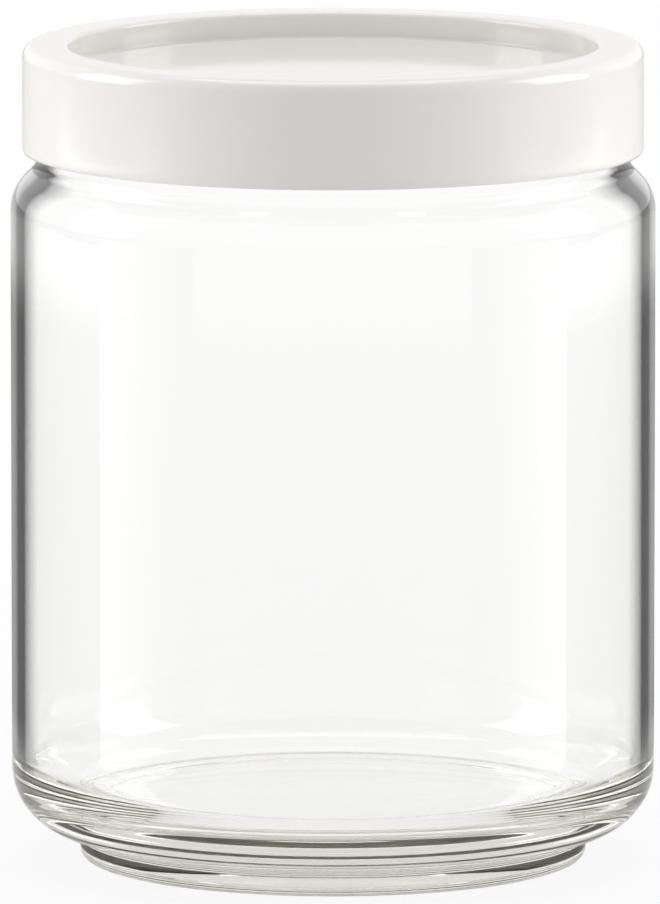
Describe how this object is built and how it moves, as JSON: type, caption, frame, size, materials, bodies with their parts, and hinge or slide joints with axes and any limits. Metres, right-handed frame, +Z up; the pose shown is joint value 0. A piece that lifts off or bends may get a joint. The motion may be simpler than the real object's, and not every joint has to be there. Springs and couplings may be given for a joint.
{
  "type": "lidded glass canister",
  "caption": "Cylindrical clear glass storage canister with a thick base and stacking foot, and a push-on white plastic lid with a sunken top, raised rim and finned seal ring.",
  "frame": {"origin": "centre of the plane that the foot ring stands on", "axes": "+Z up along the canister's axis, from the foot to the lid; X and Y are free because the canister is round"},
  "size_m": [0.128, 0.128, 0.163],
  "materials": {
    "clear_glass": "clear, fire-polished",
    "white_plastic": "semi-gloss moulded",
    "soft_seal": "translucent soft silicone"
  },
  "bodies": {
    "jar": {"glass_jar": "clear_glass"},
    "seal": {"seal_ring": "soft_seal"},
    "lid": {"lid_shell": "white_plastic"}
  },
  "joints": [
    {"name": "lid_lift", "type": "slide", "parent": "jar", "child": "seal", "axis": [0, 0, 1], "range_m": [0, 0.06]},
    {"name": "lid_turn", "type": "hinge", "parent": "seal", "child": "lid", "pos_m": [0, 0, 0.15], "axis": [0, 0, 1], "continuous": true}
  ]
}
